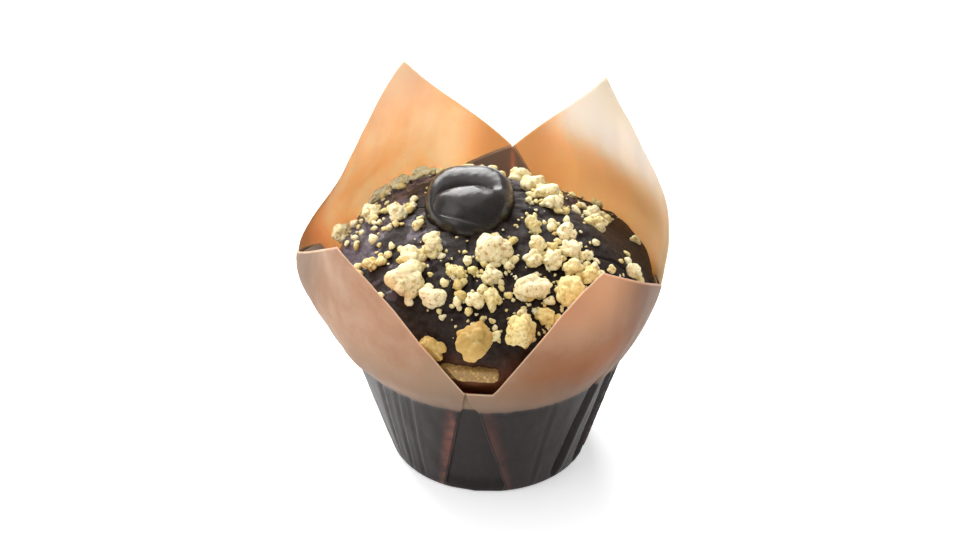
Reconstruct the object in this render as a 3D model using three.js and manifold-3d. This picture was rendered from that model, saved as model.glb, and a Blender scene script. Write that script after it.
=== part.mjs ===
// A dark chocolate muffin in its folded paper case, with crumble lumps on top and a dollop of
// chocolate at the crown. Millimetres, +Z up, the case stands on z = 0 and its axis is the Z axis.
import * as THREE from "three";
import { mergeVertices } from "three/addons/utils/BufferGeometryUtils.js";
import Module from "manifold-3d";

const wasm = await Module();
wasm.setup();

// ---- driving sizes ----
const BASE_RADIUS = 25.5; // flat round bottom of the case
const RIM_RADIUS = 34.8; // top of the tin that the sheet was pressed into
const RIM_HEIGHT = 32.6;
const BASE_CORNER = 1.6; // rounding between bottom and wall
const CUP_PAPER = 1.2; // wall of the cup, where the pleats lie three layers thick
const EDGE_PAPER = 0.6; // free edge of a petal
const GAP = 0.3; // clearance between neighbouring pieces
const SLACK = 0.25; // more room in the cup, as its facets cut corners
const MUFFIN_RADIUS = 40; // widest ring of the crown that rose over the rim
const MUFFIN_WIDEST = 48.5; // its height
const MUFFIN_TOP = 70.5;
const CROWN_SHIFT = 1; // the crown leans this far to the right of the case's axis
// The crown has sunk towards its back right: its rise over the widest ring is less by up to this
// share, between these distances from the axis.
const SAG = { azimuth: 45, start: 10, end: 30, share: 0.4 };
const CRAGS = 0.55; // relief of the muffin's crust
const DOLLOP = { x: -4.7, y: 0.8, halfWidth: 11.2, halfDepth: 13.2, foot: 62, shoulder: 68, mound: 75.2 };

// The sheet leaves the rim and swells round the crown. Its radius is given at these heights above
// the rim for each pleat and each petal's middle, also above the free edge, which only trims it.
const SWELL_HEIGHTS = [0, 8, 20, 38, 62];
// A box pleat between two petals: where it stands and how high the free edge is there.
const PLEATS = [
  { azimuth: 82, height: 60.3, radii: [RIM_RADIUS, 40.5, 44.6, 45, 43] },
  { azimuth: 172, height: 52.4, radii: [RIM_RADIUS, 40.2, 48.2, 39.2, 36] },
  { azimuth: 262, height: 43, radii: [RIM_RADIUS, 40.6, 42.4, 42, 42] },
  { azimuth: 351, height: 51.2, radii: [RIM_RADIUS, 39.6, 43.2, 45.6, 41.5] },
];
// The petal that follows each pleat: its tip is a corner of the square sheet. Its edges, towards
// this pleat and towards the next one, run level for a share of the way and then climb to the
// tip evenly (1), early (more) or late (less).
const PETALS = [
  { height: 94.5, radii: [RIM_RADIUS, 40.9, 43.8, 39.6, 35.2], level: [0, 0], early: [1.03, 1.18] },
  { height: 75.5, radii: [RIM_RADIUS, 40.8, 43.5, 44.8, 47], level: [0, 0], early: [1, 1.5] },
  { height: 74, radii: [RIM_RADIUS, 39.3, 43.8, 44, 46], level: [0.2, 0], early: [1.4, 1] },
  { height: 93.8, radii: [RIM_RADIUS, 40.7, 45.6, 39.8, 35.8], level: [0, 0], early: [1, 1.1] },
];
const PLEAT_FOOT = 8; // half width of a pleat's strip at the bottom
const PLEAT_RIM = 2.3; // and at the rim, from where it closes towards the notch
const PLEAT_TOP = 0.35;
const PLEAT_DEPTH = 0.6; // how far the strip lies behind the petals
const FOLD_RUN = 0.7; // width of the step from petal to strip, at the bottom

const PETAL_COLUMNS = 12; // mesh steps across a petal
const BOTTOM_ROWS = 2; // rings on the flat bottom
const WALL_ROWS = 4; // mesh steps from the bottom to the rim
const PETAL_ROWS = 9; // and from the rim to the free edge
const ROW_CROWDING = 1.25; // over 1, they lie closer near the rim

const TAU = 2 * Math.PI;
const radians = (degrees) => (degrees * Math.PI) / 180;
const mix = (a, b, u) => a + (b - a) * u;
const smooth = (u) => u * u * (3 - 2 * u);
const polar = (radius, angle, z) =>
  new THREE.Vector3(radius * Math.cos(angle), radius * Math.sin(angle), z);

// ---- shared mesh helpers ----

// A closed skin over rows of points that all have the same columns. The first and the last row
// close on one point each.
function closedSkin(start, rows, end) {
  const columns = rows[0].length;
  const points = [start, ...rows.flat(), end];
  const at = (row, column) => 1 + row * columns + (column % columns);
  const last = points.length - 1;
  const faces = [];
  for (let c = 0; c < columns; c += 1) {
    faces.push(0, at(0, c + 1), at(0, c));
    for (let r = 0; r + 1 < rows.length; r += 1) {
      faces.push(at(r, c), at(r, c + 1), at(r + 1, c + 1));
      faces.push(at(r, c), at(r + 1, c + 1), at(r + 1, c));
    }
    faces.push(at(rows.length - 1, c), at(rows.length - 1, c + 1), last);
  }
  const geometry = new THREE.BufferGeometry();
  const position = new Float32Array(points.flatMap((p) => [p.x, p.y, p.z]));
  geometry.setAttribute("position", new THREE.BufferAttribute(position, 3));
  geometry.setIndex(faces);
  return geometry;
}

// A geometry with only its positions, every corner stored once.
function bareMesh(geometry) {
  geometry.deleteAttribute("normal");
  geometry.deleteAttribute("uv");
  return mergeVertices(geometry, 1e-4);
}

function toManifold(geometry) {
  const merged = bareMesh(geometry.clone());
  return new wasm.Manifold(
    new wasm.Mesh({
      numProp: 3,
      vertProperties: merged.attributes.position.array,
      triVerts: merged.index.array,
    }),
  );
}

// The largest body of a solid: loose scraps are dropped and sealed voids are filled.
function soundBody(solid) {
  return solid.decompose().reduce((a, b) => (a.volume() > b.volume() ? a : b));
}

function fromManifold(manifold) {
  const mesh = manifold.getMesh();
  const geometry = new THREE.BufferGeometry();
  geometry.setAttribute("position", new THREE.BufferAttribute(mesh.vertProperties, 3));
  geometry.setIndex(Array.from(mesh.triVerts));
  return geometry;
}

function node(name, geometry, color, roughness) {
  const finished = geometry.toNonIndexed();
  finished.computeVertexNormals();
  const material = new THREE.MeshStandardMaterial({ color, roughness, metalness: 0 });
  const mesh = new THREE.Mesh(finished, material);
  mesh.name = name;
  return mesh;
}

// Repeatable random numbers from 0 to 1.
function randomSource(seed) {
  let state = seed;
  return () => {
    state = (Math.imul(state, 1664525) + 1013904223) >>> 0;
    return state / 4294967296;
  };
}

// ---- paper case: one square sheet, pressed into a tin, its corners left standing as petals ----

// The half width of a pleat's strip at a height of the cup (0 to 1) or of the petals (1 to 2).
function stripHalfWidth(level) {
  if (level <= 1) return mix(PLEAT_FOOT, PLEAT_RIM, level);
  return mix(PLEAT_RIM, PLEAT_TOP, Math.min(1, level - 1));
}

const STRIP_SHARES = [-1, -0.36, 0.36, 1]; // the columns of a strip, as shares of its half width

// The columns of the sheet, once round: a petal's steps, then the strip of the pleat beside it.
// Each says which petal and how far across it, or how far from the pleat's middle on a strip.
function sheetColumns() {
  const columns = [];
  for (let petal = 0; petal < PETALS.length; petal += 1) {
    for (let k = 0; k <= PETAL_COLUMNS; k += 1) {
      columns.push({ petal, across: k / PETAL_COLUMNS, sunk: false });
    }
    for (const strip of STRIP_SHARES) {
      columns.push({ petal, across: 1, strip, sunk: true });
    }
  }
  return columns;
}

const pleatAt = (i) => ({
  ...PLEATS[i % 4],
  azimuth: PLEATS[i % 4].azimuth + 360 * Math.floor(i / 4),
});

// The azimuth of a column where the wall has the given radius and level. A petal's columns keep
// clear of the strips on both sides, and a strip's columns lie one fold inside it.
function columnAngle(column, radius, level) {
  const half = stripHalfWidth(level);
  const from = radians(pleatAt(column.petal).azimuth);
  const to = radians(pleatAt(column.petal + 1).azimuth);
  if (column.sunk) return to + (column.strip * half * (1 - FOLD_RUN / PLEAT_FOOT)) / radius;
  return mix(from + half / radius, to - half / radius, column.across);
}

// A smooth curve through values at the swell's heights.
function swell(values, height) {
  const at = SWELL_HEIGHTS;
  const slope = (i) => {
    const low = Math.max(i - 1, 0);
    const high = Math.min(i + 1, at.length - 1);
    return (values[high] - values[low]) / (at[high] - at[low]);
  };
  const next = at.findIndex((h, i) => i > 0 && (height <= h || i === at.length - 1));
  const low = next - 1;
  const span = at[next] - at[low];
  const u = (height - at[low]) / span;
  return (
    values[low] * (1 + 2 * u) * (1 - u) ** 2 +
    values[next] * u * u * (3 - 2 * u) +
    span * slope(low) * u * (1 - u) ** 2 +
    span * slope(next) * u * u * (u - 1)
  );
}

// The free edge's height above the rim on a column, and the sheet's radii there.
function petalShape(column) {
  const side = column.across < 0.5 ? 0 : 1;
  const pleat = pleatAt(column.petal + side);
  const tip = PETALS[column.petal];
  const toTip = 1 - Math.abs(2 * column.across - 1);
  const onSlope = Math.max(0, (toTip - tip.level[side]) / (1 - tip.level[side]));
  const climb = 1 - (1 - onSlope) ** tip.early[side];
  return {
    top: mix(pleat.height, tip.height, climb) - RIM_HEIGHT,
    radii: pleat.radii.map((radius, i) => mix(radius, tip.radii[i], smooth(toTip))),
  };
}

// The cup's wall is straight from the end of its rounded foot to the rim.
const WALL_TILT = Math.atan2(RIM_RADIUS - BASE_RADIUS, RIM_HEIGHT);
const FLAT_RADIUS = BASE_RADIUS - BASE_CORNER;
const FOOT_TURN = Math.PI / 2 - WALL_TILT;
const FOOT_RADIUS = FLAT_RADIUS + BASE_CORNER * Math.sin(FOOT_TURN);
const FOOT_HEIGHT = BASE_CORNER * (1 - Math.cos(FOOT_TURN));
const wallRadius = (z) =>
  mix(FOOT_RADIUS, RIM_RADIUS, (z - FOOT_HEIGHT) / (RIM_HEIGHT - FOOT_HEIGHT));

// The outer face of the sheet on one column, from near the bottom's centre to the free edge. The
// level runs from 0 at the bottom over 1 at the rim to 2 at the free edge.
function sheetColumn(column) {
  const stations = [];
  for (let k = 1; k <= BOTTOM_ROWS; k += 1) {
    stations.push({ radius: (FLAT_RADIUS * k) / BOTTOM_ROWS, z: 0, level: 0 });
  }
  for (const share of [0.5, 1]) {
    const turn = FOOT_TURN * share;
    const radius = FLAT_RADIUS + BASE_CORNER * Math.sin(turn);
    stations.push({ radius, z: BASE_CORNER * (1 - Math.cos(turn)), level: 0 });
  }
  for (let k = 1; k <= WALL_ROWS; k += 1) {
    const z = mix(FOOT_HEIGHT, RIM_HEIGHT, k / WALL_ROWS);
    stations.push({ radius: wallRadius(z), z, level: k / WALL_ROWS });
  }
  const { top, radii } = petalShape(column);
  for (let k = 1; k <= PETAL_ROWS; k += 1) {
    const height = top * (k / PETAL_ROWS) ** ROW_CROWDING;
    stations.push({ radius: swell(radii, height), z: RIM_HEIGHT + height, level: 1 + k / PETAL_ROWS });
  }
  return stations.map(({ radius, z, level }) => ({
    point: polar(radius, columnAngle(column, radius, level), z),
    level,
  }));
}

// The sheet's outward direction at a point of its grid, from the neighbours across and along it.
function sheetNormal(grid, column, row) {
  if (row < BOTTOM_ROWS) return new THREE.Vector3(0, 0, -1);
  const count = grid.length;
  const last = grid[0].length - 1;
  const left = grid[(column + count - 2) % count][row].point;
  const right = grid[(column + 2) % count][row].point;
  const below = grid[column][row - 1].point;
  const above = grid[column][Math.min(row + 1, last)].point;
  const across = right.clone().sub(left);
  return across.cross(above.clone().sub(below)).normalize();
}

// The wall is thickest in the cup, thins out over half of a petal and stays thin to its edge.
function paperThickness(level) {
  if (level <= 1) return CUP_PAPER;
  return mix(CUP_PAPER, EDGE_PAPER, smooth(Math.min(1, 2 * (level - 1))));
}

// A strip lies behind the petals on the wall, and comes level with them near the free edge.
const stripDepth = (level) => (level > 0 ? PLEAT_DEPTH * Math.min(1, 1.5 * (2 - level)) : 0);

// The case as a closed skin, its inner face moved inwards by the given clearance.
function paperCaseSkin(clearance) {
  const columns = sheetColumns();
  const grid = columns.map(sheetColumn);
  const outer = [];
  const inner = [];
  for (let row = 0; row < grid[0].length; row += 1) {
    const outerRow = [];
    const innerRow = [];
    columns.forEach((column, c) => {
      const { point, level } = grid[c][row];
      const normal = sheetNormal(grid, c, row);
      const sunk = column.sunk ? stripDepth(level) : 0;
      outerRow.push(point.clone().addScaledVector(normal, -sunk));
      innerRow.push(point.clone().addScaledVector(normal, -paperThickness(level) - clearance));
    });
    outer.push(outerRow);
    inner.unshift(innerRow);
  }
  return closedSkin(
    new THREE.Vector3(0, 0, 0),
    [...outer, ...inner],
    new THREE.Vector3(0, 0, CUP_PAPER + clearance),
  );
}

// ---- muffin ----

// The crust's relief at a direction: a few crossing waves, from -1 to 1.
function crag(angle, height) {
  return (
    0.45 * Math.sin(3 * angle + 0.11 * height + 1.3) +
    0.3 * Math.sin(7 * angle - 0.23 * height) * Math.cos(0.31 * height) +
    0.25 * Math.sin(13 * angle + 0.4 * height + 2.1)
  );
}

const CUP_TOP = 31.4; // up to here the muffin fills the cup
const OVERFLOW_EASE = 1.7; // over 1, the muffin keeps to the rim before it spreads over it
const CROWN_ROWS = 11;
const MUFFIN_COLUMNS = 48;

// The muffin's outline from its bottom to its top: inside the cup, over the rim, then the crown.
// Rough is the share of the crags that shows there.
function muffinOutline() {
  const inside = CUP_PAPER + GAP + SLACK;
  const outline = [
    { radius: FLAT_RADIUS * 0.6, z: inside, rough: 0 },
    { radius: FLAT_RADIUS, z: inside, rough: 0 },
  ];
  for (const z of [3.5, 12, 22, CUP_TOP]) {
    outline.push({ radius: wallRadius(z) - inside, z, rough: 0 });
  }
  const cupRadius = wallRadius(CUP_TOP) - inside;
  for (const u of [0.28, 0.52, 0.76]) {
    const spread = Math.sin((u * Math.PI) / 2) ** OVERFLOW_EASE;
    const z = mix(CUP_TOP, MUFFIN_WIDEST, u);
    outline.push({ radius: mix(cupRadius, MUFFIN_RADIUS, spread), z, rough: 0.4 * u });
  }
  for (let k = 0; k < CROWN_ROWS; k += 1) {
    const turn = (k / CROWN_ROWS) * (Math.PI / 2);
    const z = mix(MUFFIN_WIDEST, MUFFIN_TOP, Math.sin(turn));
    outline.push({ radius: MUFFIN_RADIUS * Math.cos(turn), z, rough: k === 0 ? 0.4 : 1 });
  }
  return outline;
}

// The height of a point of the crown after it has sunk towards the back right.
function sagged(point) {
  const azimuth = radians(SAG.azimuth);
  const there = point.x * Math.cos(azimuth) + point.y * Math.sin(azimuth);
  const share = Math.min(1, Math.max(0, (there - SAG.start) / (SAG.end - SAG.start)));
  return point.z - SAG.share * smooth(share) * Math.max(point.z - MUFFIN_WIDEST, 0);
}

// The muffin without its crumble, made larger all round by the given amount.
function muffinBody(grow) {
  const outline = muffinOutline();
  const rows = outline.map(({ radius, z, rough }, i) => {
    const before = outline[Math.max(i - 1, 0)];
    const after = outline[i + 1] ?? { radius: 0, z: MUFFIN_TOP };
    const tilt = Math.atan2(-(after.radius - before.radius), after.z - before.z);
    const row = [];
    for (let c = 0; c < MUFFIN_COLUMNS; c += 1) {
      const angle = (c / MUFFIN_COLUMNS) * TAU;
      const out = CRAGS * rough * crag(angle, z) + grow;
      const point = polar(radius + out * Math.cos(tilt), angle, z + out * Math.sin(tilt));
      point.z = sagged(point);
      point.x += CROWN_SHIFT * rough;
      row.push(point);
    }
    return row;
  });
  const floor = outline[0].z - grow;
  return closedSkin(new THREE.Vector3(0, 0, floor), rows, new THREE.Vector3(0, 0, MUFFIN_TOP + grow));
}

// The height of the crown at a distance from the axis.
const crownHeight = (radius) =>
  mix(MUFFIN_WIDEST, MUFFIN_TOP, Math.sqrt(Math.max(0, 1 - (radius / MUFFIN_RADIUS) ** 2)));

// The large lumps of crumble: azimuth, distance from the axis, and length, width, height.
const LUMPS = [
  [229, 31, 8.2, 8.2, 6.5], [222, 25.6, 5.6, 5.4, 4.6], [226, 20.8, 5, 5, 4.4],
  [249, 25, 4.8, 3.2, 3.2], [270, 18.6, 7.8, 7.6, 6], [268, 25.4, 4.2, 4.4, 3.8],
  [287, 29, 8.8, 5.6, 5], [243, 31.8, 7, 4.4, 4], [262, 30.8, 4.4, 4, 3.6], [269, 30.6, 3.4, 5.2, 3.4],
  [263, 37.6, 8, 8, 6.4], [279, 36.4, 7, 7.4, 6], [248, 39.2, 7.4, 6, 4.6], [290, 34.6, 4.4, 4, 3.4],
  [303, 31.8, 6.8, 7, 5.6], [295, 22.4, 4.2, 3.8, 3.4], [305, 24, 4.4, 4, 3.6],
  [313, 27.4, 5, 4.2, 3.8], [317, 30.6, 5.2, 3.8, 3.4], [330, 20, 4.4, 5.2, 4],
  [320, 23.8, 4.2, 5.2, 4], [315, 13.2, 3.4, 4.2, 3.4], [303, 18.6, 3.6, 4.6, 3.4],
  [68, 17.4, 5.4, 5, 4.6], [49, 14.6, 5.4, 5.6, 4.8], [25, 14, 5, 5.4, 4.6], [3, 14.4, 4.6, 4.4, 4],
  [26, 27.6, 4.4, 4, 3.4], [1, 25.4, 4.4, 4, 3.6], [341, 35.4, 4, 4, 3.2], [144, 35, 7.6, 3.4, 3],
  [134, 33.6, 7.4, 3.4, 3], [124, 31.8, 7, 3.4, 2.8], [169, 30.2, 5, 4.6, 4.2], [179, 23.2, 5, 4.4, 4],
  [167, 38, 5.2, 4.6, 4.2], [205, 32.4, 3.4, 3.4, 3], [100, 38.5, 4.4, 4, 3.2], [78, 38.5, 4.6, 4, 3.4],
];
// One flat stick of crumble that lies across the front, against the paper.
const BAR = { azimuth: 263, radius: 40, z: 48.4, length: 14, depth: 3.2, height: 3.4, steps: 4 };

const SMALL_CRUMBS = 22;
const SMALL_SIZE = [1.9, 3.2];
const SMALL_FLATNESS = 0.85;
const CRUMB_REACH = 38; // small crumbs lie within this distance of the axis
const CRUMB_SINK = 0.22; // share of a crumb's height that is in the crust
const CRUMB_ROUGHNESS = 0.14; // how far its corners stand in or out, as a share of its radius

// A crumb from a ball or box of size 1: every corner is pushed in or out, and then the whole is
// stretched to its size.
function crumbGeometry(shape, size, random) {
  const crumb = bareMesh(shape);
  const position = crumb.attributes.position;
  for (let i = 0; i < position.count; i += 1) {
    const push = 1 + CRUMB_ROUGHNESS * (2 * random() - 1);
    position.setXYZ(
      i,
      position.getX(i) * push * size[0],
      position.getY(i) * push * size[1],
      position.getZ(i) * push * size[2],
    );
  }
  return crumb;
}

const crumbBall = (detail) => new THREE.IcosahedronGeometry(0.5, detail);

// Lays a crumb on the crown, its flat side along the crust, turned about the crust's normal.
function onCrown(geometry, azimuth, radius, height, turn) {
  const angle = radians(azimuth);
  const z = crownHeight(radius);
  const rise = MUFFIN_TOP - MUFFIN_WIDEST;
  const outward = radius / MUFFIN_RADIUS ** 2;
  const upward = Math.max(z - MUFFIN_WIDEST, 0.1 * rise) / rise ** 2;
  const normal = polar(outward, angle, upward).normalize();
  const lay = new THREE.Quaternion().setFromUnitVectors(new THREE.Vector3(0, 0, 1), normal);
  const spin = new THREE.Quaternion().setFromAxisAngle(new THREE.Vector3(0, 0, 1), turn);
  const place = polar(radius, angle, z);
  place.z = sagged(place);
  place.addScaledVector(normal, height * (0.5 - CRUMB_SINK));
  place.x += CROWN_SHIFT;
  const matrix = new THREE.Matrix4().compose(place, lay.multiply(spin), new THREE.Vector3(1, 1, 1));
  return geometry.applyMatrix4(matrix);
}

function besideDollop(x, y, margin) {
  const across = (x - DOLLOP.x) / (DOLLOP.halfWidth + margin);
  const along = (y - DOLLOP.y) / (DOLLOP.halfDepth + margin);
  return Math.hypot(across, along) > 1;
}

function crumble() {
  const random = randomSource(7);
  const crumbs = [];
  for (const [azimuth, radius, length, width, height] of LUMPS) {
    const shape = crumbGeometry(crumbBall(1), [length, width, height], random);
    crumbs.push(onCrown(shape, azimuth, radius, height, radians(azimuth + 90)));
  }
  const box = new THREE.BoxGeometry(1, 1, 1, BAR.steps, 1, 1);
  const bar = crumbGeometry(box, [BAR.length, BAR.depth, BAR.height], random);
  bar.rotateZ(radians(BAR.azimuth + 90));
  const barPlace = polar(BAR.radius, radians(BAR.azimuth), BAR.z);
  crumbs.push(bar.translate(barPlace.x, barPlace.y, barPlace.z));
  let placed = 0;
  while (placed < SMALL_CRUMBS) {
    const azimuth = 360 * random();
    const radius = CRUMB_REACH * Math.sqrt(random());
    const size = mix(SMALL_SIZE[0], SMALL_SIZE[1], random() ** 2);
    const point = polar(radius, radians(azimuth), 0);
    if (!besideDollop(point.x, point.y, size)) continue;
    const height = size * SMALL_FLATNESS;
    const shape = crumbGeometry(crumbBall(0), [size * mix(0.9, 1.3, random()), size, height], random);
    crumbs.push(onCrown(shape, azimuth, radius, height, TAU * random()));
    placed += 1;
  }
  return crumbs;
}

// The muffin with its crumble fused on, cut back where it would touch its neighbours.
function buildMuffin(clearOf) {
  let whole = toManifold(muffinBody(0));
  for (const crumb of crumble()) whole = whole.add(toManifold(crumb));
  for (const neighbour of clearOf) whole = whole.subtract(neighbour);
  return fromManifold(soundBody(whole));
}

// ---- chocolate dollop: soft chocolate, dropped on the crown and folded over itself once ----

// Its mound is this flat from front to back (2 is an ellipsoid), and this much flatter across.
const MOUND = { fullness: 3, breadth: 3 };
// Spacing of the fold's turns, their shift to the right and to the front, and the size of their
// calm middle, as shares of the radius.
const FOLD_PLAN = { pitch: 0.95, right: 0.3, front: 0.24, calm: 0.12 };
// Where they start, how much longer they are across than front to back, how high the fold is, and
// the share of that height at the calm middle.
const FOLD = { start: 0.06, stretch: 2.5, ridge: 3.2, middle: 0.4 };
const DOLLOP_COLUMNS = 34;
const DOLLOP_ROWS = [0.1, 0.19, 0.27, 0.34, 0.43, 0.54, 0.65, 0.74, 0.81, 0.88, 0.94, 0.98];

// The dollop's height at a share of its radius: a mound that carries one round fold. The fold's
// crease is a spiral in a plan that is squeezed across, and it fades in the middle and at the edge.
function dollopHeight(share, angle) {
  const fullness = MOUND.fullness + MOUND.breadth * Math.cos(angle) ** 2;
  const mound = mix(DOLLOP.shoulder, DOLLOP.mound, Math.sqrt(1 - share ** fullness));
  const across = (share * Math.cos(angle) - FOLD_PLAN.right) / FOLD.stretch;
  const along = share * Math.sin(angle) + FOLD_PLAN.front;
  const reach = Math.hypot(across, along);
  const turn = reach / FOLD_PLAN.pitch - Math.atan2(along, across) / TAU + FOLD.start;
  const side = 2 * (turn - Math.floor(turn)) - 1;
  const ridge = Math.sqrt(1.02 - side * side) - 0.45;
  const calm = smooth(Math.min(1, reach / FOLD_PLAN.calm));
  return mound + FOLD.ridge * mix(FOLD.middle, ridge, calm) * (1 - share ** 8);
}

// The dollop down to a foot inside the crown, made larger all round by the given amount.
function dollopSkin(grow) {
  const ring = (share, height) =>
    Array.from({ length: DOLLOP_COLUMNS }, (_, c) => {
      const angle = (c / DOLLOP_COLUMNS) * TAU;
      const x = DOLLOP.x + (DOLLOP.halfWidth + grow) * share * Math.cos(angle);
      const y = DOLLOP.y + (DOLLOP.halfDepth + grow) * share * Math.sin(angle);
      return new THREE.Vector3(x, y, height(share, angle));
    });
  const rows = [ring(0.9, () => DOLLOP.foot - grow), ring(1, () => DOLLOP.shoulder)];
  for (const share of DOLLOP_ROWS.toReversed()) {
    rows.push(ring(share, (at, angle) => dollopHeight(at, angle) + grow));
  }
  return closedSkin(
    new THREE.Vector3(DOLLOP.x, DOLLOP.y, DOLLOP.foot - grow),
    rows,
    new THREE.Vector3(DOLLOP.x, DOLLOP.y, dollopHeight(0, 0) + grow),
  );
}

function buildDollop() {
  const dollop = toManifold(dollopSkin(0)).subtract(toManifold(muffinBody(GAP)));
  return fromManifold(soundBody(dollop));
}

// ---- the part ----
const part = new THREE.Group();
part.add(
  node("paper_case", paperCaseSkin(0), 0xb98a62, 0.85),
  node("muffin", buildMuffin([paperCaseSkin(GAP), dollopSkin(GAP)].map(toManifold)), 0x3d2e25, 0.9),
  node("chocolate_dollop", buildDollop(), 0x2a211f, 0.25),
);

export default part;
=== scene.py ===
# A dark chocolate muffin in its folded paper case. Sizes are in millimetres and become metres
# where a mesh is made. The case stands on z = 0, and its axis is the Z axis.
import math

import bpy
import numpy as np
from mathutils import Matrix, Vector


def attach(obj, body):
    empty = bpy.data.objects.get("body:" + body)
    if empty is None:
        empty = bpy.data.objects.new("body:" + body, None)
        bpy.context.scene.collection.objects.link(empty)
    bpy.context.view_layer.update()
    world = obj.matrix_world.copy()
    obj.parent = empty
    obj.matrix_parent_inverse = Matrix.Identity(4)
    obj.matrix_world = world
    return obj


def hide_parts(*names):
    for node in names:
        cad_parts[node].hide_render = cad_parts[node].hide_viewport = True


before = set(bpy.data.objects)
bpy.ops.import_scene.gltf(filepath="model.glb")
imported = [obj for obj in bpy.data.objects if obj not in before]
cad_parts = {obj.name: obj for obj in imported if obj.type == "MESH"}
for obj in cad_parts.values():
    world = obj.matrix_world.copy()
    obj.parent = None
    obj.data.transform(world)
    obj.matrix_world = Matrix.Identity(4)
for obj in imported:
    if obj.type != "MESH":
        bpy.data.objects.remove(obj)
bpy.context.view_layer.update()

# ---- camera ----
# It looks down on the crown from the front, so that the two rear petals stand behind the muffin.
camera_aim = Vector((-0.0023, 0.0, 0.0508))
camera_distance = 0.6
camera_elevation = math.radians(34)


def placed(name, data):
    """A new object with its data, in the scene."""
    added = bpy.data.objects.new(name, data)
    bpy.context.collection.objects.link(added)
    return added


camera_data = bpy.data.cameras.new("camera")
camera_data.sensor_width = 36
camera_data.lens = 90.5
camera = placed("camera", camera_data)
camera.location = camera_aim + camera_distance * Vector(
    (0, -math.cos(camera_elevation), math.sin(camera_elevation))
)
camera.rotation_euler = (math.pi / 2 - camera_elevation, 0, 0)
bpy.context.scene.camera = camera

# ---- studio ----
# A white sweep of floor in a white room that is brighter at the back left. One softbox hangs
# behind the muffin: its light comes through the rear petals and draws the gloss on the
# chocolate. Another stands at the left, and a wide one is overhead.
FLOOR_WHITE = (0.9, 0.9, 0.905, 1)
FLOOR_HALF = 3.0
FLOOR_GLOW = 0.5
ROOM_BRIGHT_SIDE = (-0.3, 0.35, 0.85)
ROOM_LIGHT = (0.08, 0.85)  # away from the bright side, and on it
# Each softbox: place, size and power.
SOFTBOXES = {
    "back_softbox": ((-0.25, 0.74, 0.62), (0.8, 0.8), 17.0),
    "ceiling_softbox": ((-0.3, 0.2, 1.2), (1.5, 1.3), 5.5),
    "left_softbox": ((-0.7, -0.45, 0.6), (0.6, 0.6), 2.0),
}

bpy.context.scene.view_settings.view_transform = "Standard"


def node_material(name):
    """A new material with its Principled shader: (material, tree, shader)."""
    material = bpy.data.materials.new(name)
    material.use_nodes = True
    tree = material.node_tree
    shader = next(n for n in tree.nodes if n.type == "BSDF_PRINCIPLED")
    return material, tree, shader


def fill(tree, node, sockets):
    """Gives each input socket of a node its value, or links it to an output."""
    for label, value in sockets.items():
        if isinstance(value, bpy.types.NodeSocket):
            tree.links.new(value, node.inputs[label])
        else:
            node.inputs[label].default_value = value


def linked(tree, kind, sockets, **settings):
    """Adds a shader node of a kind: its settings, then its input sockets."""
    added = tree.nodes.new("ShaderNode" + kind)
    for label, value in settings.items():
        setattr(added, label, value)
    fill(tree, added, sockets)
    return added


floor_mesh = bpy.data.meshes.new("floor")
floor_mesh.from_pydata(
    [(x * FLOOR_HALF, y * FLOOR_HALF, 0) for x, y in ((-1, -1), (1, -1), (1, 1), (-1, 1))],
    [],
    [(0, 1, 2, 3)],
)
floor = placed("floor", floor_mesh)
floor_material, tree, shader = node_material("white_sweep")
fill(tree, shader, {
    "Base Color": FLOOR_WHITE,
    "Roughness": 0.9,
    "Emission Color": FLOOR_WHITE,
    "Emission Strength": FLOOR_GLOW,
})
floor_mesh.materials.append(floor_material)

room = bpy.data.worlds.new("white_room")
room.use_nodes = True
direction = room.node_tree.nodes.new("ShaderNodeTexCoord").outputs["Generated"]
facing = {0: direction, 1: ROOM_BRIGHT_SIDE}
room_facing = linked(room.node_tree, "VectorMath", facing, operation="DOT_PRODUCT")
room_strength = linked(room.node_tree, "MapRange", {
    "Value": room_facing.outputs["Value"],
    "From Min": -1,
    "To Min": ROOM_LIGHT[0],
    "To Max": ROOM_LIGHT[1],
})
fill(room.node_tree, room.node_tree.nodes["Background"], {
    "Color": (1, 1, 1, 1),
    "Strength": room_strength.outputs["Result"],
})
bpy.context.scene.world = room

for name, (place, size, power) in SOFTBOXES.items():
    data = bpy.data.lights.new(name, "AREA")
    data.shape = "RECTANGLE"
    data.size, data.size_y = size
    data.energy = power
    lamp = placed(name, data)
    lamp.location = place
    lamp.rotation_euler = (camera_aim - Vector(place)).to_track_quat("-Z", "Y").to_euler()

# ---- folded paper case ----
# One square sheet of greaseproof kraft paper, pressed into a round tin. Its spare width lies in
# four box pleats, folded flat behind the wall, and its four corners stand up as petals. Below
# the rim the crumb's fat has soaked the paper dark.
BASE_RADIUS = 25.5
RIM_RADIUS = 34.8
RIM_HEIGHT = 32.6
BASE_CORNER = 1.6
PAPER = 0.14  # thickness of the sheet
SWELL_HEIGHTS = np.array([0.0, 8, 20, 38, 62])  # above the rim, where the radii are given
# The pleats, and the petal after each: azimuth, height of the notch or tip, and the radii.
PLEAT_AZIMUTH = np.array([82.0, 172, 262, 351])
PLEAT_HEIGHT = np.array([60.3, 52.4, 43, 51.2])
PLEAT_RADII = np.array([
    [RIM_RADIUS, 40.5, 44.6, 45, 43], [RIM_RADIUS, 40.2, 48.2, 39.2, 36],
    [RIM_RADIUS, 40.6, 42.4, 42, 42], [RIM_RADIUS, 39.6, 43.2, 45.6, 41.5],
])
TIP_HEIGHT = np.array([94.5, 75.5, 74, 93.8])
TIP_RADII = np.array([
    [RIM_RADIUS, 40.9, 43.8, 39.6, 35.2], [RIM_RADIUS, 40.8, 43.5, 44.8, 47],
    [RIM_RADIUS, 39.3, 43.8, 44, 46], [RIM_RADIUS, 40.7, 45.6, 39.8, 35.8],
])
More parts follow.
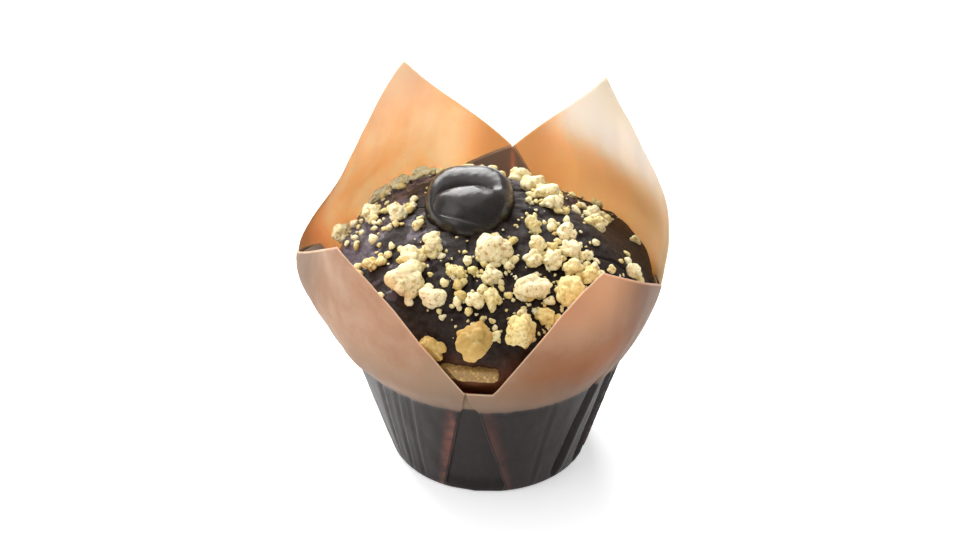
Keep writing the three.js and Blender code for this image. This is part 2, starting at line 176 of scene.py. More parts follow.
# Before and after each tip: the share of the edge that runs level, and how early it climbs.
EDGE_LEVEL = np.array([[0, 0], [0, 0], [0.2, 0], [0, 0]])
EDGE_EARLY = np.array([[1.03, 1.18], [1, 1.5], [1.4, 1], [1, 1.1]])
PLEAT_FOOT = 8.0  # half width of a pleat's strip at the bottom, at the rim and at the notch
PLEAT_RIM = 2.3
PLEAT_TOP = 0.35
# Depth of each pleat's two flaps at the rim and at the notch, before and after its middle.
FLAP_RIM = np.array([[6.0, 9.0], [8.5, 8.5], [8.5, 8.5], [8.5, 8.5]])
FLAP_TOP = np.array([[5.0, 11.5], [9.0, 9.0], [7.0, 7.0], [9.0, 9.0]])
FLAP_DROP = np.array([[8.0, 5.0], [4.0, 4.0], [6.0, 6.0], [4.0, 4.0]])
STRIP_DROP = np.array([0, 1.2, 0.9, 1.2])  # how far the strip ends below the notch
PLEAT_SHADE = np.array([1.0, 0, 1.0, 0.3])  # how much darker each pleat's layers look
# How far the soaked paper beside each petal's first and last fold is stretched thin.
THIN_BY_FOLD = np.array([[0.3, 0.3], [0.3, 1.0], [0.35, 0.3], [0.3, 0.3]])
THIN_WIDTH = 0.1  # as a share of the petal
LAYER_STEP = 0.36  # from one layer of a pleat to the next
PLEAT_START = 0.12  # share of the cup's height in which the folds close
UNFOLDED = 1.8  # width that one side of a pleat takes up where it is still flat
FOLD_NOSE = 0.16  # how far a fold's round edge stands out
PETAL_COLUMNS = 62
FLAP_COLUMNS = 4
BOTTOM_ROWS = 3
FOOT_ROWS = 5
WALL_ROWS = 26
PETAL_ROWS = 66
ROW_CROWDING = 1.25
RIDGE_HEIGHT = 0.45  # the ridge beside a crease, by the crease's own depth and half width
RIDGE_PLACE = 1.9
RIDGE_WIDTH = 1.2
NOISE_RADII = (30.0, 42.0)  # mean radius of the cup and of the petals
WAVE_STRETCH = 0.32  # the waves are longer up the sheet than across it
# Waves above the rim, and crinkles everywhere: depth, cell and seed of each noise.
PAPER_WAVES = ((0.5, 9.0, 11), (0.28, 4.6, 14))
PAPER_CRINKLES = ((0.13, 3.1, 12), (0.05, 1.3, 13))
# Creases pressed into the cup: azimuth at the rim, azimuth at the bottom, depth and half width.
CREASES = np.array([
    [317, 308, 1.3, 0.8], [327, 327, 1.2, 0.65], [334, 333, 0.9, 0.55], [220, 211, 0.5, 0.6],
    [229, 221, 0.45, 0.5], [236, 230, 0.35, 0.5], [297, 293, 0.2, 0.6], [203, 199, 0.4, 0.7],
    [190, 190, 0.5, 0.6], [150, 148, 0.45, 0.6], [131, 134, 0.3, 0.6], [109, 112, 0.5, 0.6],
    [55, 52, 0.5, 0.6], [38, 40, 0.3, 0.5], [19, 21, 0.5, 0.7], [4, 8, 0.45, 0.6],
])

MM = 0.001


def mix(a, b, u):
    """From a to b: a + (b - a) u."""
    return a + (b - a) * u


def smooth(u):
    """3u^2 - 2u^3 between 0 and 1."""
    u = np.clip(u, 0, 1)
    return u * u * (3 - 2 * u)


def lattice_value(corner, seed):
    """A fixed random value from -1 to 1 for each whole-numbered point, from its scrambled bits."""
    mask = np.uint64(0xFFFFFFFF)
    c = corner.astype(np.int64).astype(np.uint64)
    bits = (
        c[..., 0] * np.uint64(73856093)
        ^ c[..., 1] * np.uint64(19349663)
        ^ c[..., 2] * np.uint64(83492791)
        ^ np.uint64(seed * 2654435761 % 4294967296)
    ) & mask
    for _ in range(2):
        bits = ((bits ^ (bits >> np.uint64(15))) * np.uint64(2246822519)) & mask
        bits = ((bits ^ (bits >> np.uint64(13))) * np.uint64(3266489917)) & mask
    return (bits >> np.uint64(8)).astype(float) / 8388607.5 - 1


def value_noise(points, cell, seed):
    """Smooth noise from -1 to 1: a random value at each corner of a grid of cubes of that cell,
    blended across every cube by 3t^2 - 2t^3."""
    q = points / cell
    low = np.floor(q)
    t = smooth(q - low)
    total = np.zeros(points.shape[:-1])
    for corner in np.ndindex(2, 2, 2):
        share = np.prod(np.where(corner, t, 1 - t), axis=-1)
        total += share * lattice_value(low + corner, seed)
    return total


def layered_noise(points, layers):
    """A sum of noises, each given by its depth, cell and seed."""
    return sum(depth * value_noise(points, cell, seed) for depth, cell, seed in layers)


def polar(radius, angle, z):
    """Points from radius, angle in radians and height."""
    return np.stack(np.broadcast_arrays(radius * np.cos(angle), radius * np.sin(angle), z), -1)


def strip_half_width(level):
    """Half the width of a pleat's strip: it narrows evenly from the bottom (level 0) to the rim
    (1) and on to the free edge (2)."""
    upper = mix(PLEAT_RIM, PLEAT_TOP, np.clip(level - 1, 0, 1))
    return np.where(level <= 1, mix(PLEAT_FOOT, PLEAT_RIM, level), upper)


def round_case(azimuth):
    """For azimuths in degrees: the petal there, and how far across it, from 0 to 1."""
    turned = (azimuth - PLEAT_AZIMUTH[0]) % 360
    starts = PLEAT_AZIMUTH - PLEAT_AZIMUTH[0]
    petal = np.searchsorted(starts, turned, side="right") - 1
    span = np.append(starts[1:], 360.0)[petal] - starts[petal]
    return petal, (turned - starts[petal]) / span


def free_edge(petal, across):
    """Height of the sheet's free edge: from the notch it runs level for a share of the way to
    the tip, and then climbs by 1 - (1 - u)^early."""
    side = (across >= 0.5).astype(int)
    notch = PLEAT_HEIGHT[(petal + side) % 4]
    to_tip = 1 - np.abs(2 * across - 1)
    level = EDGE_LEVEL[petal, side]
    on_slope = np.clip((to_tip - level) / (1 - level), 0, 1)
    return mix(notch, TIP_HEIGHT[petal], 1 - (1 - on_slope) ** EDGE_EARLY[petal, side])


def case_radius(petal, across, height):
    """The sheet's radius at a height above the rim: a smooth cubic curve through five radii,
    which blend from the pleat's to the petal middle's by 3u^2 - 2u^3."""
    side = (across >= 0.5).astype(int)
    share = smooth(1 - np.abs(2 * across - 1))[..., None]
    radii = mix(PLEAT_RADII[(petal + side) % 4], TIP_RADII[petal], share)
    last = len(SWELL_HEIGHTS) - 1
    upper = np.clip(np.searchsorted(SWELL_HEIGHTS, height), 1, last)

    def at(index):
        return np.take_along_axis(radii, index[..., None], -1)[..., 0]

    def slope(index):
        before, after = np.maximum(index - 1, 0), np.minimum(index + 1, last)
        return (at(after) - at(before)) / (SWELL_HEIGHTS[after] - SWELL_HEIGHTS[before])

    lower = upper - 1
    span = SWELL_HEIGHTS[upper] - SWELL_HEIGHTS[lower]
    u = (height - SWELL_HEIGHTS[lower]) / span
    ends = at(lower) * (1 + 2 * u) * (1 - u) ** 2 + at(upper) * u * u * (3 - 2 * u)
    bends = slope(lower) * u * (1 - u) ** 2 + slope(upper) * u * u * (u - 1)
    return ends + span * bends


WALL_TILT = math.atan2(RIM_RADIUS - BASE_RADIUS, RIM_HEIGHT)
FLAT_RADIUS = BASE_RADIUS - BASE_CORNER
FOOT_TURN = math.pi / 2 - WALL_TILT
FOOT_RADIUS = FLAT_RADIUS + BASE_CORNER * math.sin(FOOT_TURN)
FOOT_HEIGHT = BASE_CORNER * (1 - math.cos(FOOT_TURN))


def wall_radius(z):
    """The cup's straight wall, from the end of its rounded foot to the rim."""
    return mix(FOOT_RADIUS, RIM_RADIUS, (z - FOOT_HEIGHT) / (RIM_HEIGHT - FOOT_HEIGHT))


def crease_relief(azimuth, z):
    """The creases pressed into the cup: each is a groove with a lower ridge beside it, both
    bell-shaped across, and fades out at the foot and over the rim."""
    up = np.clip(z / RIM_HEIGHT, 0, 1.3)[..., None]
    middle = mix(CREASES[:, 1], CREASES[:, 0], np.minimum(up, 1))
    off = np.radians((azimuth[..., None] - middle + 180) % 360 - 180) * wall_radius(z)[..., None]
    width = CREASES[:, 3]
    groove = np.exp(-((off / width) ** 2))
    ridge = RIDGE_HEIGHT * np.exp(-(((off - RIDGE_PLACE * width) / (RIDGE_WIDTH * width)) ** 2))
    fade = smooth(up / 0.15) * smooth((1.22 - up) / 0.3)
    return ((ridge - groove) * CREASES[:, 2] * fade).sum(-1)


def paper_relief(azimuth, z):
    """Soft waves and small crinkles of the pressed paper, longer up the sheet than across it."""
    angle = np.radians(azimuth)
    place = polar(np.where(z < RIM_HEIGHT, *NOISE_RADII), angle, WAVE_STRETCH * z)
    waves = layered_noise(place, PAPER_WAVES) * smooth((z - RIM_HEIGHT) / 10)
    crinkles = layered_noise(place, PAPER_CRINKLES) * smooth(z / 4)
    return waves + crinkles + crease_relief(azimuth, z)


def mesh_piece(name, points, rows, columns, values=None):
    """An object at the origin from closed shells, with one number for each point and each named
    value. The points of a shell, in millimetres, are [start, row after row, end]: its rows go
    round, and its faces turn outwards."""
    count = rows * columns
    body = 1 + np.arange(count).reshape(rows, columns)
    ahead = np.roll(body, -1, axis=1)
    quads = np.stack([body[:-1], ahead[:-1], ahead[1:], body[1:]], -1).reshape(-1, 4)
    first = np.stack([np.full(columns, 0), ahead[0], body[0]], -1)
    last = np.stack([body[-1], ahead[-1], np.full(columns, count + 1)], -1)
    caps = np.concatenate([first, last])
    shift = (np.arange(len(points)) * (count + 2))[:, None, None]
    faces = (quads + shift).reshape(-1, 4).tolist() + (caps + shift).reshape(-1, 3).tolist()
    mesh = bpy.data.meshes.new(name)
    mesh.from_pydata((points.reshape(-1, 3) * MM).tolist(), [], faces)
    mesh.shade_smooth()
    for label, numbers in (values or {}).items():
        attribute = mesh.attributes.new(label, "FLOAT", "POINT")
        attribute.data.foreach_set("value", numbers.astype(np.float32))
    return placed(name, mesh)


def shell_piece(name, start, skin, end, values=None):
    """One shell from its rows by columns of points and its two end points."""
    points = np.concatenate([[start], skin.reshape(-1, 3), [end]])
    return mesh_piece(name, points[None], *skin.shape[:2], values)


def sheet_columns():
    """The columns of the sheet, once round. Each has: petal, how far across it,
    pleat, side of the pleat (0 before its middle, 1 after), share of the strip's half width,
    share of the flap's depth, extra offset in mm, layers below the petals, and the column's
    share of its side of the pleat (0 on a petal)."""
    panel = np.linspace(0, 1, PETAL_COLUMNS + 1)
    nose = FOLD_NOSE
    steps = np.arange(1, FLAP_COLUMNS) / FLAP_COLUMNS
    one_side = [(1, 0, -nose, 0.25), (1, 0, -1.4 * nose, 0.5), (1, 0, -nose, 0.75), (1, 0, 0, 1)]
    one_side += [(1, s, 0, 1) for s in steps]
    one_side += [(1, 1, 0, 1), (1, 1, nose, 1.25), (1, 1, 1.4 * nose, 1.5), (1, 1, nose, 1.75)]
    one_side += [(1, 1, 0, 2)] + [(1, s, 0, 2) for s in steps[::-1]] + [(1, 0, 0, 2)]
    one_side = [(*place, (k + 1) / len(one_side)) for k, place in enumerate(one_side)]
    columns = []
    for petal in range(4):
        pleat = (petal + 1) % 4
        columns += [(petal, across, pleat, 0, 0, 0, 0, 0, 0) for across in panel]
        columns += [(petal, 1, pleat, 0, *place) for place in one_side]
        columns += [(petal, 1, pleat, 0, 0, 0, 0, 2, 1)]
        columns += [(petal, 1, pleat, 1, *place) for place in one_side[::-1]]
    return np.array(columns, float)


def sheet_points():
    """The outer face of the folded sheet, as rows by columns of points, and its values. A point
    lies at the sheet's radius for its azimuth and height. Its pleat columns swing round the
    pleat's middle by the strip's and the flap's widths, and lie deeper by whole layers."""
    petal, across, pleat, side, strip, flap, extra, layer, unfolded = sheet_columns().T
    petal, pleat, side = petal.astype(int), pleat.astype(int), side.astype(int)
    folded = unfolded > 0
    sign = np.where(side == 0, -1, 1)
    top = free_edge(petal, np.where(folded, 1.0, across))
    drop = mix(np.where(layer == 2, STRIP_DROP[pleat], 0), FLAP_DROP[pleat, side], flap)
    top = top - np.where(folded, drop, 0)

    ring = np.arange(1, BOTTOM_ROWS + 1) / BOTTOM_ROWS * FLAT_RADIUS
    turn = np.arange(1, FOOT_ROWS + 1) / FOOT_ROWS * FOOT_TURN
    up = np.arange(1, WALL_ROWS + 1) / WALL_ROWS
    wall_z = mix(FOOT_HEIGHT, RIM_HEIGHT, up)
    petal_up = np.arange(1, PETAL_ROWS + 1) / PETAL_ROWS
    low_parts = (
        (ring, 0 * ring, 0 * ring),
        (FLAT_RADIUS + BASE_CORNER * np.sin(turn), BASE_CORNER * (1 - np.cos(turn)), 0 * turn),
        (wall_radius(wall_z), wall_z, up),
    )
    low_radius, low_z, low_level = np.concatenate(low_parts, axis=1)
    low = len(low_z)
    petal_z = RIM_HEIGHT + petal_up[:, None] ** ROW_CROWDING * (top - RIM_HEIGHT)
    z = np.concatenate([np.repeat(low_z[:, None], len(petal), 1), petal_z])
    level = np.concatenate([low_level, 1 + petal_up])[:, None]

    def surface(azimuth, height):
        where, share = round_case(azimuth)
        upper = case_radius(where, share, np.maximum(height - RIM_HEIGHT, 0))
        return np.where(height > RIM_HEIGHT, upper, wall_radius(height))

    def radius_at(azimuth):
        radius = surface(azimuth, z)
        radius[:low] = low_radius[:, None]
        return radius

    half = strip_half_width(level)
    flap_width = mix(FLAP_RIM[pleat, side], FLAP_TOP[pleat, side], np.clip(level - 1, 0, 1))
    flap_width *= np.clip(level, 0, 1)
    middle = PLEAT_AZIMUTH[pleat]
    start = PLEAT_AZIMUTH[petal]
    end = np.where(petal == 3, PLEAT_AZIMUTH[0] + 360, PLEAT_AZIMUTH[(petal + 1) % 4])
    pleat_radius = radius_at(np.broadcast_to(middle, z.shape))
    start_radius = radius_at(np.broadcast_to(start, z.shape))
    closed = smooth(level / PLEAT_START)
    folded_place = strip * half + flap * flap_width + extra
    flat_place = np.where(strip > 0, half - UNFOLDED * unfolded, 0)
    offset = sign * mix(flat_place, folded_place, closed)
    pleat_radius[:BOTTOM_ROWS] = FLAT_RADIUS
    start_radius[:BOTTOM_ROWS] = FLAT_RADIUS
    pleat_azimuth = middle + np.degrees(offset / pleat_radius)
    panel_azimuth = mix(
        start + np.degrees(half / start_radius), end - np.degrees(half / pleat_radius), across
    )
    azimuth = np.where(folded, pleat_azimuth, panel_azimuth)
    radius = radius_at(azimuth)
    angle = np.radians(azimuth)
    point = polar(radius, angle, z)

    step = 0.05
    around = radius_at(azimuth + step) - radius_at(azimuth - step)
    along = surface(azimuth, z + step) - surface(azimuth, np.maximum(z - step, 0))
    twist = around / (2 * np.radians(step)) / radius
    lean = along / (2 * step)
    normal = np.stack(
        [np.cos(angle) + twist * np.sin(angle), np.sin(angle) - twist * np.cos(angle), -lean], -1
    )
    normal[:BOTTOM_ROWS] = (0, 0, -1)
    foot = slice(BOTTOM_ROWS, BOTTOM_ROWS + FOOT_ROWS)
    normal[foot] = polar(np.sin(turn)[:, None], angle[foot], -np.cos(turn)[:, None])
    normal /= np.linalg.norm(normal, axis=-1, keepdims=True)

    sunk = LAYER_STEP * layer * closed
    relief = paper_relief(azimuth, z)
    relief[:BOTTOM_ROWS] = 0
    point += normal * (relief - sunk)[..., None]
    to_fold = np.where(folded, 0.5, np.minimum(across, 1 - across))
    thin = THIN_BY_FOLD[petal, (across >= 0.5).astype(int)] * smooth(1 - to_fold / THIN_WIDTH)
    values = {
        "height": z,
        "layered": PLEAT_SHADE[pleat] * (folded & (flap + layer > 0)),
        "to_edge": top - z,
        "to_fold": to_fold,
        "thin": thin,
    }
    return point, {label: np.broadcast_to(value, z.shape) for label, value in values.items()}


def sheet_normals(point):
    """Unit normals of the folded sheet, across its own folds, from each point's neighbours."""
    across = np.roll(point, -1, axis=1) - np.roll(point, 1, axis=1)
    normal = np.cross(across, np.gradient(point, axis=0))
    return normal / np.maximum(np.linalg.norm(normal, axis=-1, keepdims=True), 1e-9)


outer_face, face_values = sheet_points()
inner_face = outer_face - PAPER * sheet_normals(outer_face)
inner_face[:BOTTOM_ROWS, :, 2] = PAPER
# Both faces carry the same values, and the bottom's middle its own.
BOTTOM_MIDDLE = {"height": 0, "layered": 0, "to_edge": 90, "to_fold": 0.5, "thin": 0}
paper_values = {"inside": np.repeat([0.0, 1.0], outer_face[..., 0].size + 1)}
for label, middle in BOTTOM_MIDDLE.items():
    face = face_values[label]
    paper_values[label] = np.concatenate([[middle], face.ravel(), face[::-1].ravel(), [middle]])
paper_piece = shell_piece(
    "folded_paper_case",
    (0, 0, 0),
    np.concatenate([outer_face, inner_face[::-1]]),
    (0, 0, PAPER),
    paper_values,
)


def srgb(red, green, blue):
    """A colour given in screen values from 0 to 255, as the linear light that a shader takes."""
    share = np.array([red, green, blue]) / 255
    linear = np.where(share <= 0.04045, share / 12.92, ((share + 0.055) / 1.055) ** 2.4)
    return (*linear.tolist(), 1)


def blend(tree, share, first, second):
    """The colour between first and second at a share."""
    sockets = {0: share, 6: first, 7: second}
    return linked(tree, "Mix", sockets, data_type="RGBA").outputs[2]


def carried(tree, name):
    """The number that the mesh carries under a name."""
    return linked(tree, "Attribute", {}, attribute_name=name).outputs["Fac"]


def ramp(tree, value, low, high):
    """0 below low, 1 above high, and smooth between them."""
    sockets = {"Value": value, "From Min": low, "From Max": high}
    spread = linked(tree, "MapRange", sockets, interpolation_type="SMOOTHSTEP")
    return spread.outputs["Result"]


def between(tree, share, low, high):
    """Evenly from low to high with a share."""
    sockets = {"Value": share, "To Min": low, "To Max": high}
    return linked(tree, "MapRange", sockets).outputs["Result"]


def combine(tree, operation, first, second):
    """One sum, product or the like of two values."""
    return linked(tree, "Math", {0: first, 1: second}, operation=operation).outputs[0]


def coated(tree, colour, *coats):
    """A colour under coats that are laid over it in turn. Each is a tint, its greatest share and
    the ramps that it fades in by: a value, where the coat starts and where it is full."""
    for tint, most, *fades in coats:
        share, *others = [ramp(tree, *fade) for fade in fades]
        for factor in (*others, most):
            share = combine(tree, "MULTIPLY", share, factor)
        colour = blend(tree, share, colour, tint)
    return colour


def axes(tree):
    """The object's X, Y and Z, in metres."""
    place = tree.nodes.new("ShaderNodeTexCoord").outputs["Object"]
    return tuple(linked(tree, "SeparateXYZ", {"Vector": place}).outputs)


def speckle_group():
    """A shared effect: layered noise over the object, as a mask and as bumps."""
    group = bpy.data.node_groups.new("food_grain", "ShaderNodeTree")
    for name, kind in (("Size", "Float"), ("Depth", "Float"), ("Stretch", "Vector")):
        group.interface.new_socket(name, in_out="INPUT", socket_type=f"NodeSocket{kind}")
    for name, kind in (("Mask", "Float"), ("Normal", "Vector")):
        group.interface.new_socket(name, in_out="OUTPUT", socket_type=f"NodeSocket{kind}")
    given = group.nodes.new("NodeGroupInput").outputs
    place = group.nodes.new("ShaderNodeTexCoord").outputs["Object"]
    stretched = linked(group, "VectorMath", {0: place, 1: given["Stretch"]}, operation="MULTIPLY")
    noise = linked(group, "TexNoise", {
        "Vector": stretched.outputs[0],
        "Scale": combine(group, "DIVIDE", 1.0, given["Size"]),
        "Detail": 5.0,
        "Roughness": 0.62,
    })
    bump = linked(group, "Bump", {
        "Height": noise.outputs["Fac"],
        "Distance": given["Depth"],
        "Strength": 1.0,
    })
    taken = group.nodes.new("NodeGroupOutput")
    fill(group, taken, {"Mask": noise.outputs["Fac"], "Normal": bump.outputs["Normal"]})
    return group


food_grain = speckle_group()


def grain(tree, size, depth, stretch=(1, 1, 1)):
    """The shared grain in a material, with its size and depth in millimetres."""
    sockets = {"Size": size * MM, "Depth": depth * MM, "Stretch": stretch}
    node = linked(tree, "Group", sockets, node_tree=food_grain)
    return node.outputs["Mask"], node.outputs["Normal"]


PAPER_TRANSLUCENCE = 0.8
PAPER_SCATTER = (4.0, 2.6, 1.9)
PAPER_ROUGHNESS = (0.42, 0.62)  # of the soaked cup, and above it
PAPER_SHINE = 0.17
# Both faces are the same paper: the inside is painted lighter, as painted light that comes through
# the sheet, and the outside darker, as painted shade.
KRAFT_OUTSIDE_SHADED = srgb(160, 132, 107)
KRAFT_OUTSIDE_DEEP = srgb(146, 112, 86)
# Painted shade on the outside near the folds.
KRAFT_OUTSIDE_FOLD_SHADE = srgb(106, 84, 67)
KRAFT_GREASE_AND_SHADE = srgb(130, 74, 28)  # low at the right: grease, and painted shade away from the lamps
KRAFT_OUTSIDE_PAINTED_LIGHT = srgb(172, 140, 105)  # painted light, higher at the right
KRAFT_OUTSIDE_PAINTED_SHADE = srgb(98, 60, 36)  # painted shade on the far right side
KRAFT_LOW_SHADE_AND_GREASE = srgb(104, 84, 69)  # just over the rim: painted shade where the dark crumb lies behind it, and some grease
KRAFT_INSIDE_LIT = srgb(255, 222, 206)
KRAFT_INSIDE_DEEP = srgb(255, 206, 182)
# Paler high at the right: drier paper, and painted light where the tip is brightly lit.
KRAFT_INSIDE_DRY_AND_LIT = srgb(255, 246, 242)
# Darker low down at the right: grease, and painted shade where the muffin stops the light through
# the paper.
KRAFT_INSIDE_GREASE_AND_SHADE = srgb(222, 196, 158)
KRAFT_INSIDE_FOLD_SHADE = srgb(184, 169, 130)  # painted shade near the folds, where a pleat's flap lies behind the petal
# Painted shade, darker towards the tips.
KRAFT_TIP_SHADE = srgb(188, 189, 174)
KRAFT_EDGE = srgb(236, 200, 164)
LAYERED_SHADE = srgb(116, 94, 72)
SOAKED = srgb(29, 22, 20)
SOAKED_DRY = srgb(41, 31, 29)
SOAKED_THIN = srgb(120, 68, 54)  # beside a fold, where the paper is stretched over the crumb
# Painted shadow in the folds of the soaked cup.
SOAKED_FOLD_SHADOW = srgb(15, 11, 10)

paper_material, tree, shader = node_material("greaseproof_kraft")
fibre_mask, fibre_normal = grain(tree, 1.6, 0.05, (1, 1, 0.35))
cloud_mask, _ = grain(tree, 14.0, 0.0)
clouds = ramp(tree, cloud_mask, 0.35, 0.65)
right_side, rear_side, _ = axes(tree)
paper_height = carried(tree, "height")
to_fold = carried(tree, "to_fold")
over_crumb = combine(tree, "ADD", paper_height, combine(tree, "MULTIPLY", cloud_mask, 14.0))
outside = coated(
    tree,
    blend(tree, clouds, KRAFT_OUTSIDE_SHADED, KRAFT_OUTSIDE_DEEP),
    (KRAFT_GREASE_AND_SHADE, 1, (right_side, -2 * MM, 20 * MM), (paper_height, 62, 46)),
    (KRAFT_OUTSIDE_PAINTED_LIGHT, 1, (right_side, 8 * MM, 28 * MM), (paper_height, 52, 68)),
    (KRAFT_OUTSIDE_PAINTED_SHADE, 0.9, (right_side, 26 * MM, 40 * MM)),
    (KRAFT_OUTSIDE_FOLD_SHADE, 0.85, (to_fold, 0.42, 0.18), (rear_side, -33 * MM, -24 * MM)),
    (KRAFT_LOW_SHADE_AND_GREASE, 1, (over_crumb, 60, 38)),
)
inside = coated(
    tree,
    blend(tree, clouds, KRAFT_INSIDE_LIT, KRAFT_INSIDE_DEEP),
    (KRAFT_INSIDE_DRY_AND_LIT, 1, (right_side, 4 * MM, 26 * MM), (paper_height, 60, 78)),
    (KRAFT_INSIDE_GREASE_AND_SHADE, 1, (right_side, 4 * MM, 20 * MM), (paper_height, 71, 55)),
    (KRAFT_INSIDE_FOLD_SHADE, 0.85, (to_fold, 0.24, 0.06)),
    (KRAFT_TIP_SHADE, 0.8, (paper_height, 68, 94)),
)
kraft = blend(tree, carried(tree, "inside"), outside, inside)
layers = combine(tree, "MULTIPLY", carried(tree, "layered"), 0.75)
kraft = blend(tree, layers, kraft, LAYERED_SHADE)
kraft = coated(tree, kraft, (KRAFT_EDGE, 0.35, (carried(tree, "to_edge"), 0.8, 0.2)))
cup_colour = coated(tree, SOAKED, (SOAKED_DRY, 1, (fibre_mask, 0.5, 0.75)))
thin = combine(tree, "MULTIPLY", carried(tree, "thin"), ramp(tree, cloud_mask, 0.3, 0.55))
cup_colour = blend(tree, thin, cup_colour, SOAKED_THIN)
cup_colour = coated(tree, cup_colour, (SOAKED_FOLD_SHADOW, 1, (to_fold, 0.02, 0.004)))
soak_line = combine(tree, "ADD", paper_height, combine(tree, "MULTIPLY", fibre_mask, 1.6))
above = ramp(tree, soak_line, 33.0, 34.4)
fill(tree, shader, {
    "Base Color": blend(tree, above, cup_colour, kraft),
    "Roughness": between(tree, above, *PAPER_ROUGHNESS),
    "Specular IOR Level": PAPER_SHINE,
    "Subsurface Weight": PAPER_TRANSLUCENCE,
    "Subsurface Radius": PAPER_SCATTER,
    "Subsurface Scale": PAPER * MM,
    "Normal": fibre_normal,
})
paper_piece.data.materials.append(paper_material)
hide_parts("paper_case")
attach(paper_piece, "root")

# ---- muffin ----
# Dark chocolate batter that filled the cup and rose over its rim against the paper, a little to
# the right, as a low dome that has sunk at its back right. Its crust is cracked and pitted,
# smoother on the right shoulder, browner against the paper and wet in patches at the left, which
# are glossier and carry a painted lilac sheen.
INSIDE_CUP = 1.75  # from the paper's outside to the crumb
CUP_START = 3.5
CUP_TOP = 31.4
MUFFIN_RADIUS = 40.0
MUFFIN_WIDEST = 48.5
MUFFIN_TOP = 70.5
CROWN_SHIFT = 1.0
SAG_AZIMUTH = math.radians(45)  # the crown has sunk towards its back right
SAG_START = 10.0
SAG_END = 30.0
SAG_SHARE = 0.4
OVERFLOW_EASE = 1.7
CRAGS = 0.55
PAPER_CLEARANCE = 1.3
EDGE_FADE = 1.5  # height over the free edge in which the paper stops pushing
MUFFIN_COLUMNS = 480
BOTTOM_RINGS = 4
CUP_RINGS = 10
OVERFLOW_RINGS = 20
CROWN_RINGS = 100
SMOOTH_SHOULDER = np.array([31.0, 4.0, 54.0])  # middle of the smooth crust
SMOOTH_REACH = 17.0
SMOOTH_CALM = 0.22  # share of the relief that is left there
RIM_CRAGS = 0.4  # share of the crags at the widest ring
# The crust's lumps and the lines of its cracks: depth, cell and seed of each noise.
CRUST_LUMPS = ((0.55, 6.5, 21), (0.4, 3.0, 22), (0.2, 1.5, 23))
CRACK_LINES = ((1.0, 9.0, 25), (0.2, 2.2, 26))
CRACK_DEPTH = 1.1
PIT_DEPTH = 0.5


def crag(angle, z):
    """The crust's large waves, from -1 to 1: three crossing sines of angle and height."""
    return (
        0.45 * np.sin(3 * angle + 0.11 * z + 1.3)
        + 0.3 * np.sin(7 * angle - 0.23 * z) * np.cos(0.31 * z)
        + 0.25 * np.sin(13 * angle + 0.4 * z + 2.1)
    )


def crust_relief(place):
    """The crust's fine relief in mm: three sizes of noise, pits where a fine noise runs high and
    cracks where a broad noise crosses zero. All of it is weaker on the smooth shoulder."""
    pits = PIT_DEPTH * smooth((value_noise(place, 1.9, 24) - 0.25) / 0.45)
    line = np.abs(layered_noise(place, CRACK_LINES))
    cracks = CRACK_DEPTH * smooth(1 - line / 0.1) * smooth(0.5 + value_noise(place, 13.0, 27))
    far = np.linalg.norm(place - SMOOTH_SHOULDER, axis=-1) / SMOOTH_REACH
    rough = mix(SMOOTH_CALM, 1.0, smooth(far - 0.35))
    return (layered_noise(place, CRUST_LUMPS) - pits - cracks) * rough


def muffin_outline():
    """Radius, height and share of crags from the bottom's middle to the crown's: flat bottom,
    the cup's straight wall, a sine that spreads over the rim, and a quarter of an ellipse."""
    ring = np.arange(1, BOTTOM_RINGS + 1) / BOTTOM_RINGS
    cup = mix(CUP_START, CUP_TOP, np.linspace(0, 1, CUP_RINGS))
    u = np.arange(1, OVERFLOW_RINGS) / OVERFLOW_RINGS
    spread = np.sin(u * math.pi / 2) ** OVERFLOW_EASE
    turn = np.arange(CROWN_RINGS) / CROWN_RINGS * math.pi / 2
    rim = wall_radius(CUP_TOP) - INSIDE_CUP
    crown = mix(MUFFIN_WIDEST, MUFFIN_TOP, np.sin(turn))
    parts = (
        (ring * FLAT_RADIUS, 0 * ring + INSIDE_CUP, 0 * ring),
        (wall_radius(cup) - INSIDE_CUP, cup, 0 * cup),
        (mix(rim, MUFFIN_RADIUS, spread), mix(CUP_TOP, MUFFIN_WIDEST, u), RIM_CRAGS * u),
        (MUFFIN_RADIUS * np.cos(turn), crown, mix(RIM_CRAGS, 1, smooth(turn / 0.15))),
    )
    return np.concatenate(parts, axis=1)


def sagged(point):
    """Height of a point of the crown after it has sunk: its rise over the widest ring is less by
    a share, which grows by 3u^2 - 2u^3 with the distance towards the back right."""
    there = point[..., 0] * math.cos(SAG_AZIMUTH) + point[..., 1] * math.sin(SAG_AZIMUTH)
    share = SAG_SHARE * smooth((there - SAG_START) / (SAG_END - SAG_START))
    return point[..., 2] - share * np.maximum(point[..., 2] - MUFFIN_WIDEST, 0)


def inside_case(point):
    """Moves what lies below the sheet's free edge inwards, until it clears the sheet."""
    radius = np.hypot(point[..., 0], point[..., 1])
    angle = np.arctan2(point[..., 1], point[..., 0])
    petal, across = round_case(np.degrees(angle))
    height = np.maximum(point[..., 2] - RIM_HEIGHT, 0)
    limit = case_radius(petal, across, height) - PAPER_CLEARANCE
    below = smooth((free_edge(petal, across) + EDGE_FADE - point[..., 2]) / EDGE_FADE)
    over = np.maximum(radius - limit, 0) * below * (point[..., 2] > RIM_HEIGHT)
    moved = point.copy()
    moved[..., :2] *= ((radius - over) / np.maximum(radius, 1e-6))[..., None]
    return moved


